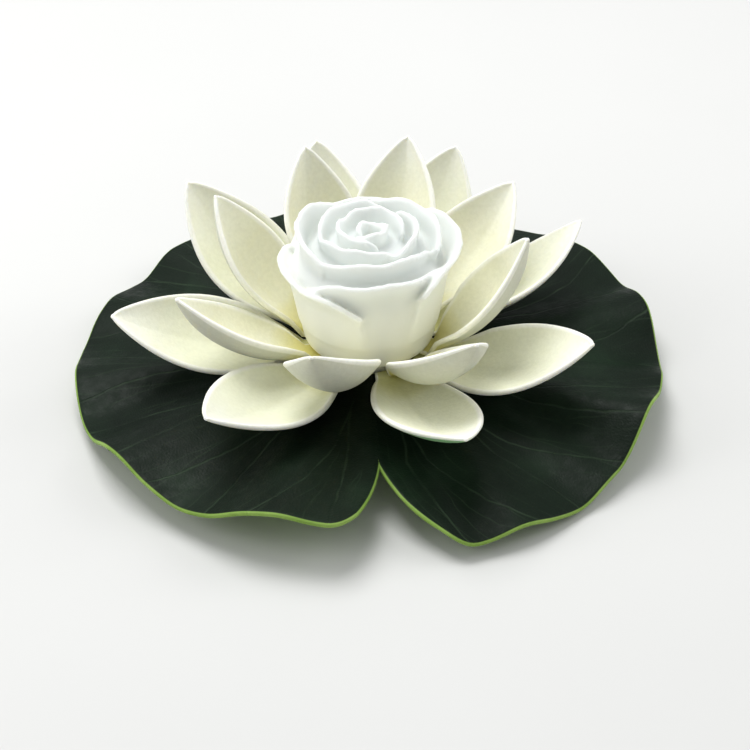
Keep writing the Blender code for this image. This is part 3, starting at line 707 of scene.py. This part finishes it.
def make_petal(name, node_name, row, ring, finish):
    """One petal as a rounded sheet, thinner at the foot that the lamp squeezes."""
    middle, along = petal_middle(row, ring, *PETAL_GRID)
    rows, columns = middle.shape[:2]
    grown = np.clip(along / THICKENING_SHARE, 0, 1)
    thick = PETAL_FOOT_THICK + (PETAL_THICK - PETAL_FOOT_THICK) * grown
    thick = thick * (1 - TIP_THINNING * np.clip((along - 0.8) / 0.2, 0, 1))
    half = np.broadcast_to((thick / 2)[:, None], (rows, columns)).copy()
    points, quads, where, side = rounded_sheet(middle, grid_normals(middle), half,
                                               (edge_loop(rows, columns),))
    # across is 1 round the rim and over the tip's last tenth, where the material paints a
    # highlight
    across = np.abs(np.linspace(-1, 1, columns))[where[:, 1]]
    across = np.maximum(across, np.clip((along[where[:, 0]] - 0.9) / 0.1, 0, 1) ** 3)
    petal = make_object(name, points, quads, {
        "along": along[where[:, 0]], "across": across, "side": side})
    petal.data.materials.append(finish)
    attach(petal, "lamp")
    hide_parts(node_name)
    return petal


petals = []
for number, row in enumerate(LOWER_PETALS, 1):
    foam = sprayed_foam if number == SPRAYED_PETAL else lower_foam
    petals.append(make_petal(f"outer_petal_{number}", f"lower_petal_{number}", row,
                             LOWER_RING, foam))
for number, row in enumerate(UPPER_PETALS, 1):
    petals.append(make_petal(f"inner_petal_{number}", f"upper_petal_{number}", row,
                             UPPER_RING, upper_foam))
print("petals:", len(petals), "with", sum(len(p.data.polygons) for p in petals), "faces")


# %% [markdown]
# ## The rose shade
#
# The shade is one soft-edged moulding in frosted plastic: a cup with overlapping petals that
# melt into each other. Modelled as one surface it would be a maze of folds, so it is put
# together as a modeller in clay would: a turned hollow cup, and petals laid round it in
# layers. First comes the cup, a closed profile swept round the axis.

# %% Rose cup
CUP_OUTSIDE = np.array((
    (15.3, 11.1), (15.3, 13.2), (15.3, 15.2), (17.2, 15.4), (18.8, 16.1), (19.8, 17.4),
    (20.3, 19.5), (20.8, 23.0), (21.4, 27.0), (21.9, 31.0), (22.4, 35.0), (22.9, 39.0),
    (22.8, 42.0), (21.4, 44.4), (18.0, 46.4), (13.0, 48.2), (7.0, 49.4), (0.0, 49.8)))
CUP_INSIDE = np.array((
    (0.0, 47.4), (7.0, 46.8), (13.0, 45.2), (17.4, 43.0), (20.2, 40.0), (20.7, 36.0),
    (20.2, 32.0), (19.6, 27.0), (19.2, 23.0), (18.8, 20.0), (17.6, 18.2), (15.2, 17.0),
    (13.3, 16.0), (13.3, 13.5), (13.3, 11.1)))
CUP_SEGMENTS = 120


def turned_surface(profile, segments):
    """A (radius, height) profile swept round the axis: x = r cos a, y = r sin a."""
    angle = np.linspace(0, 2 * np.pi, segments + 1)[None, :]
    radius, height = profile[:, :1], profile[:, 1:]
    return np.stack([radius * np.cos(angle), radius * np.sin(angle),
                     height + 0 * angle], axis=2)


def smooth_profile(points, count):
    """A smooth curve through profile points: Catmull-Rom pieces read at even steps."""
    padded = np.concatenate([2 * points[:1] - points[1:2], points,
                             2 * points[-1:] - points[-2:-1]])
    t = np.linspace(0, len(points) - 1, count)
    k = np.minimum(t.astype(int), len(points) - 2)
    f = (t - k)[:, None]
    a, b, c, d = (padded[k + n] for n in range(4))
    return 0.5 * (2 * b + (c - a) * f + (2 * a - 5 * b + 4 * c - d) * f ** 2
                  + (3 * b - a - 3 * c + d) * f ** 3)


def closed_cup():
    """The hollow cup as one closed body: outside up, inside down, and the neck's end face."""
    outside = smooth_profile(CUP_OUTSIDE, 90)
    inside = smooth_profile(CUP_INSIDE, 80)
    outside[:, 0] = np.clip(outside[:, 0], 0, None)
    inside[:, 0] = np.clip(inside[:, 0], 0, None)
    upper = turned_surface(outside, CUP_SEGMENTS)
    lower = turned_surface(inside, CUP_SEGMENTS)
    wall = np.stack([lower[-1], upper[0]])
    parts = [upper, lower, wall]
    points = np.concatenate([p.reshape(-1, 3) for p in parts])
    starts = np.cumsum([0] + [p.shape[0] * p.shape[1] for p in parts[:-1]])
    quads = np.concatenate([grid_faces(p.shape[0], p.shape[1], start, flip=True)
                            for p, start in zip(parts, starts)])
    return points, quads


print("cup:", len(closed_cup()[1]), "quads")


# %% [markdown]
# ### The rose's petals
#
# Each petal is wrapped on a cone that opens to a lip. The outer four stand on the cup's wall
# and the rest fill its crown, smaller and steeper towards the middle.

# %% Rose petals
# each petal: middle azimuth, half span in degrees; foot radius and height, top radius and
# height, and how far its lip turns out, in mm; swirl, how far one side edge stands out
ROSE_PETALS = (
    (205, 62, 20.5, 24, 23.8, 44.0, 3.4, 0.4),
    (285, 66, 20.3, 24, 22.4, 48.6, 1.8, 0.4),
    (5, 60, 20.5, 24, 24.4, 50.6, 3.6, -0.4),
    (95, 70, 20.6, 26, 23.2, 50.0, 2.2, 0.5),
    (172, 58, 18.2, 36, 20.2, 55.0, 1.8, 0.8),
    (283, 62, 17.2, 38, 18.2, 53.0, 1.4, 0.9),
    (40, 60, 17.8, 37, 19.4, 54.0, 1.6, 0.9),
    (130, 62, 12.6, 42, 14.6, 54.6, 1.2, 0.9),
    (245, 60, 12.4, 42, 13.4, 54.4, 1.0, 0.9),
    (0, 60, 12.6, 42, 13.8, 55.2, 1.0, 0.9),
    (70, 80, 8.0, 44, 9.4, 55.8, 0.7, 0.8),
    (210, 85, 7.6, 44, 8.6, 55.0, 0.7, 0.8),
    (320, 95, 4.6, 46, 5.4, 55.4, 0.4, 0.7),
    (140, 110, 3.0, 46, 3.2, 54.6, 0.2, 0.5),
)
ROSE_PETAL_GRID = (22, 41)
ROSE_OUTER_THICK = 2.0
ROSE_INNER_THICK = 1.7
ROSE_CROWN_RADIUS = 15       # petals that stand further out than this are the thicker ones


def rose_petal(row):
    """One rose petal wrapped on a cone, as a closed body in mm.

    For u from 0 at the foot to 1 at the lip and v from -1 to 1 round the span:
    radius = foot + (top - foot) * u + lip * u^6 - swirl * v * u, azimuth = middle + span * v,
    height = foot + (top - foot) * u * (1 - 0.28 |v|^3.5), so the lip is a rounded arch, plus
    a wave of 0.35 * sin(3.1 pi v + foot radius) * u^2. The normals are turned to face
    outwards, which draws the rim in, so that a lip ends where its formula says."""
    middle_azimuth, span, foot_r, foot_z, top_r, top_z, lip, swirl = row
    thick = ROSE_OUTER_THICK if foot_r > ROSE_CROWN_RADIUS else ROSE_INNER_THICK
    stations, columns = ROSE_PETAL_GRID
    u, v = np.meshgrid(np.linspace(0, 1, stations), np.linspace(-1, 1, columns),
                       indexing="ij")
    arch = 1 - 0.28 * np.abs(v) ** 3.5
    radius = foot_r + (top_r - foot_r) * u + lip * u ** 6 - swirl * v * u
    wave = 0.35 * np.sin(3.1 * np.pi * v + foot_r) * u ** 2
    angle = np.radians(middle_azimuth + span * v)
    height = foot_z + (top_z - foot_z) * u * arch + wave
    middle = np.stack([radius * np.cos(angle), radius * np.sin(angle), height], axis=2)
    half = np.full(u.shape, thick / 2) * (1 - 0.2 * u ** 4)
    points, quads, _, _ = rounded_sheet(middle, -grid_normals(middle), half,
                                        (edge_loop(*u.shape),))
    return points, quads


print("rose petals:", len(ROSE_PETALS), "of", len(rose_petal(ROSE_PETALS[0])[1]), "quads")


# %% [markdown]
# ### The shade's frosted plastic
#
# Polypropylene frosted by a blasted mould scatters light in its wall: light goes in, and
# comes out again a few millimetres away, so shadows in the folds are soft. Its colour is cream
# low down and turns greyer and darker towards the top: painted shade, which holds back the
# highlight on the lips.

# %% Rose material
def frosted_material():
    """Frosted polypropylene: soft cool shadows, cream low down, and a fine matt skin.

    The colour is painted darker towards the top, a painted shade that holds back its highlight.
    """
    made, tree, shader = new_material(
        "frosted_polypropylene", Roughness=0.42, Specular_IOR_Level=0.2, IOR=1.49,
        Subsurface_Weight=0.85, Subsurface_Scale=0.004, Subsurface_Radius=(1.0, 0.95, 0.9))
    place = node(tree, "TexCoord", output="Object")
    height = node(tree, "SeparateXYZ", place, output="Z")
    clouds = node(tree, "TexNoise", place, Scale=1 / (12 * MM), Detail=3)
    clouds = node(tree, "MapRange", clouds, To_Min=-3 * MM, To_Max=3 * MM)
    level = node(tree, "Math", height, clouds, operation="ADD")
    share = node(tree, "MapRange", level, 15 * MM, 55 * MM)
    # painted shade: the colour is greyer and darker towards the top, to hold back the highlight
    # on the lips
    body = node(tree, "ValToRGB", share,
                stops=((0.0, "#f1f1e2"), (0.45, "#ebece5"), (0.85, "#dfe3e0")))
    tree.links.new(body, shader["Base Color"])
    skin = node(tree, "TexNoise", place, Scale=1 / (0.35 * MM), Detail=2)
    tree.links.new(node(tree, "Bump", Height=skin, Distance=0.02 * MM), shader["Normal"])
    return made


frosted = frosted_material()
print(frosted.name, "has", len(frosted.node_tree.nodes), "nodes")


# %% [markdown]
# ### One skin for the rose
#
# A voxel remesh fuses the cup and the petals. It needs closed bodies, and it works in cells
# of about half a millimetre. That is a third of the thinner petals' thickness, so every lip
# survives, and it keeps the skin under 200,000 triangles. Smoothing then moves each point
# towards the middle of its neighbours, which first takes away the cells' steps and then
# softens the creases, as a mould does.

# %% Rose piece
ROSE_CELL = 0.54
ROSE_SMOOTHING = 22


def fused(name, bodies, cell, rounds):
    """One skin over several closed bodies: join, remesh in cells, and smooth."""
    points, quads, count = [], [], 0
    for body_points, body_quads in bodies:
        points.append(body_points)
        quads.append(body_quads + count)
        count += len(body_points)
    rough = make_object(name + "_rough", np.concatenate(points), np.concatenate(quads),
                        weld=1e-7)
    remesh = rough.modifiers.new("fuse", "REMESH")
    remesh.mode = "VOXEL"
    remesh.voxel_size = cell * MM
    soften = rough.modifiers.new("soften", "SMOOTH")
    soften.factor = 0.5
    soften.iterations = rounds
    bpy.context.view_layer.update()
    made = bpy.data.meshes.new_from_object(rough.evaluated_get(
        bpy.context.evaluated_depsgraph_get()))
    bpy.data.objects.remove(rough)
    made.name = name
    made.shade_smooth()
    item = bpy.data.objects.new(name, made)
    bpy.context.scene.collection.objects.link(item)
    return item


def make_rose():
    """The cup and its petals fused into the shade."""
    bodies = [closed_cup()] + [rose_petal(row) for row in ROSE_PETALS]
    rose = fused("rose", bodies, ROSE_CELL, ROSE_SMOOTHING)
    rose.data.materials.append(frosted)
    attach(rose, "lamp")
    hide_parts("rose_shade")
    return rose


print("rose:", len(make_rose().data.polygons), "faces")


# %% [markdown]
# ## The base: moulded plastics
#
# The hard parts under the leaf are right as the CAD model has them, so they keep their CAD
# meshes and only need finishes. Most are injection-moulded. The mould is spark-eroded, which
# leaves a fine grain, and handling leaves a faint cloudiness in colour and gloss.

# %% Plastics
def moulded_plastic(name, body, worn, roughness):
    """Injection-moulded plastic: a fine grain, and clouds of colour and gloss."""
    made, tree, shader = new_material(name, Specular_IOR_Level=0.45, IOR=1.5)
    place = node(tree, "TexCoord", output="Object")
    clouds = node(tree, "TexNoise", place, Scale=1 / (14 * MM), Detail=3)
    tree.links.new(node(tree, "ValToRGB", clouds, stops=((0.35, body), (0.75, worn))),
                   shader["Base Color"])
    rubbed = node(tree, "TexNoise", place, Scale=1 / (5 * MM), Detail=3)
    tree.links.new(node(tree, "MapRange", rubbed, 0.3, 0.7, roughness - 0.05, roughness + 0.08),
                   shader["Roughness"])
    grain = node(tree, "TexNoise", place, Scale=1 / (0.25 * MM), Detail=2)
    tree.links.new(node(tree, "Bump", Height=grain, Distance=0.02 * MM), shader["Normal"])
    return made


PLASTICS = {
    moulded_plastic("moulded_abs_base", "#e4e2d8", "#d9d6c8", 0.38): ("base_housing",),
    moulded_plastic("moulded_abs_cover", "#dedcd2", "#d2cfc2", 0.42):
        ("bottom_cover", "battery_door"),
    moulded_plastic("moulded_epoxy_resistor", "#1b1b1c", "#262627", 0.5):
        ("series_resistor",),
    moulded_plastic("glass_filled_nylon_switch", "#3a3c3e", "#46484a", 0.5):
        ("switch_body",),
    moulded_plastic("black_acetal_slider", "#141414", "#232323", 0.4): ("switch_slider",),
}
print("plastics:", [made.name for made in PLASTICS])


# %% [markdown]
# ## The base: metals
#
# The screws are zinc-plated, the cell's can is nickel-plated, the contacts are rolled bronze
# strip and the leads are drawn copper wire. All have fine streaks along the way they were
# worked, so the noise that makes them is stretched that way, and duller patches where they
# were touched. A metal keeps the shader's own IOR.

# %% Metals
ALONG_X, ALONG_Y, ALONG_Z = (8.0, 1.0, 1.0), (1.0, 8.0, 1.0), (1.0, 1.0, 8.0)


def worked_metal(name, body, dull, roughness, scratch, squeeze):
    """Plated or rolled metal: streaks of a scratch's width in mm, and duller patches."""
    made, tree, shader = new_material(name, Metallic=1.0)
    place = node(tree, "TexCoord", output="Object")
    squeezed = node(tree, "Mapping", place, Scale=squeeze)
    streaks = node(tree, "TexNoise", squeezed, Scale=1 / (scratch * MM), Detail=4)
    patches = node(tree, "TexNoise", place, Scale=1 / (4 * MM), Detail=3)
    tree.links.new(node(tree, "ValToRGB", patches, stops=((0.35, body), (0.75, dull))),
                   shader["Base Color"])
    tree.links.new(node(tree, "MapRange", streaks, 0.25, 0.75, roughness - 0.08,
                        roughness + 0.12), shader["Roughness"])
    tree.links.new(node(tree, "Bump", Height=streaks, Distance=0.008 * MM), shader["Normal"])
    return made


METALS = {
    worked_metal("zinc_plated_steel", "#bfc2c4", "#9fa3a6", 0.32, 0.4, ALONG_Z):
        ("cover_screw_1", "cover_screw_2", "cover_screw_3", "door_screw"),
    worked_metal("nickel_plated_cell_can", "#cfd0cf", "#b4b5b4", 0.25, 0.8, ALONG_Y):
        ("coin_cell",),
    worked_metal("phosphor_bronze_strip", "#cdb978", "#ab9250", 0.3, 0.5, ALONG_X):
        ("negative_contact", "positive_contact"),
    worked_metal("tinned_copper_wire", "#c9ccce", "#a8abac", 0.35, 0.4, ALONG_Z):
        ("led_lead_anode", "led_lead_cathode"),
}
print("metals:", [made.name for made in METALS])


# %% [markdown]
# ## The base: seals, board and lens
#
# Moulded nitrile rubber is matt black, with a grey bloom that comes to its surface. The board
# is glass-filled epoxy under green solder mask, and the cloth's weave shows through as a
# faint check, at a thread spacing of half a millimetre. The lens is water-clear cast epoxy.

# %% Rubber, board and lens
def nitrile_rubber():
    """Moulded nitrile rubber: matt black with a grey bloom."""
    made, tree, shader = new_material("nitrile_rubber", Roughness=0.75, Specular_IOR_Level=0.3)
    place = node(tree, "TexCoord", output="Object")
    bloom = node(tree, "TexNoise", place, Scale=1 / (2.5 * MM), Detail=3)
    tree.links.new(node(tree, "ValToRGB", bloom, stops=((0.4, "#202121"), (0.8, "#3a3b3a"))),
                   shader["Base Color"])
    skin = node(tree, "TexNoise", place, Scale=1 / (0.3 * MM), Detail=2)
    tree.links.new(node(tree, "Bump", Height=skin, Distance=0.02 * MM), shader["Normal"])
    return made


def fibreglass_board():
    """Green solder mask over glass cloth, whose weave shows as a faint check."""
    made, tree, shader = new_material("solder_masked_fr4", Roughness=0.35,
                                      Specular_IOR_Level=0.5)
    place = node(tree, "TexCoord", output="Object")
    weave = node(tree, "TexChecker", place, Scale=1 / (0.5 * MM), output="Fac")
    faint = node(tree, "Math", weave, 0.25, operation="MULTIPLY")
    clouds = node(tree, "TexNoise", place, Scale=1 / (6 * MM), Detail=3)
    mask = node(tree, "ValToRGB", clouds, stops=((0.3, "#256038"), (0.7, "#2f7342")))
    tree.links.new(node(tree, "Mix", faint, mask, "#3b8350", data_type="RGBA"),
                   shader["Base Color"])
    tree.links.new(node(tree, "Bump", Height=weave, Distance=0.01 * MM), shader["Normal"])
    return made


def epoxy_lens():
    """Water-clear cast epoxy with a slight milkiness inside."""
    made, tree, shader = new_material("water_clear_epoxy", Roughness=0.06, IOR=1.53,
                                      Transmission_Weight=0.85)
    place = node(tree, "TexCoord", output="Object")
    milky = node(tree, "TexNoise", place, Scale=1 / (3 * MM), Detail=3)
    tree.links.new(node(tree, "ValToRGB", milky, stops=((0.3, "#eaf0f3"), (0.7, "#f6f8f6"))),
                   shader["Base Color"])
    skin = node(tree, "TexNoise", place, Scale=1 / (2 * MM), Detail=3)
    tree.links.new(node(tree, "Bump", Height=skin, Distance=0.01 * MM), shader["Normal"])
    return made


OTHERS = {
    nitrile_rubber(): ("cover_seal", "neck_seal", "door_seal"),
    fibreglass_board(): ("circuit_board",),
    epoxy_lens(): ("led_lens",),
}
print("others:", [made.name for made in OTHERS])


# %% [markdown]
# ### Finishes onto the hard pieces
#
# Each CAD node keeps its mesh and its place. Only its flat placeholder material is swapped
# for the finish.

# %% Hard pieces
hard_finishes = {**PLASTICS, **METALS, **OTHERS}
for finish, names in hard_finishes.items():
    for name in names:
        slots = bpy.data.objects[name].data.materials
        slots.clear()
        slots.append(finish)
print("hard finishes:", len(hard_finishes), "on", sum(map(len, hard_finishes.values())), "nodes")
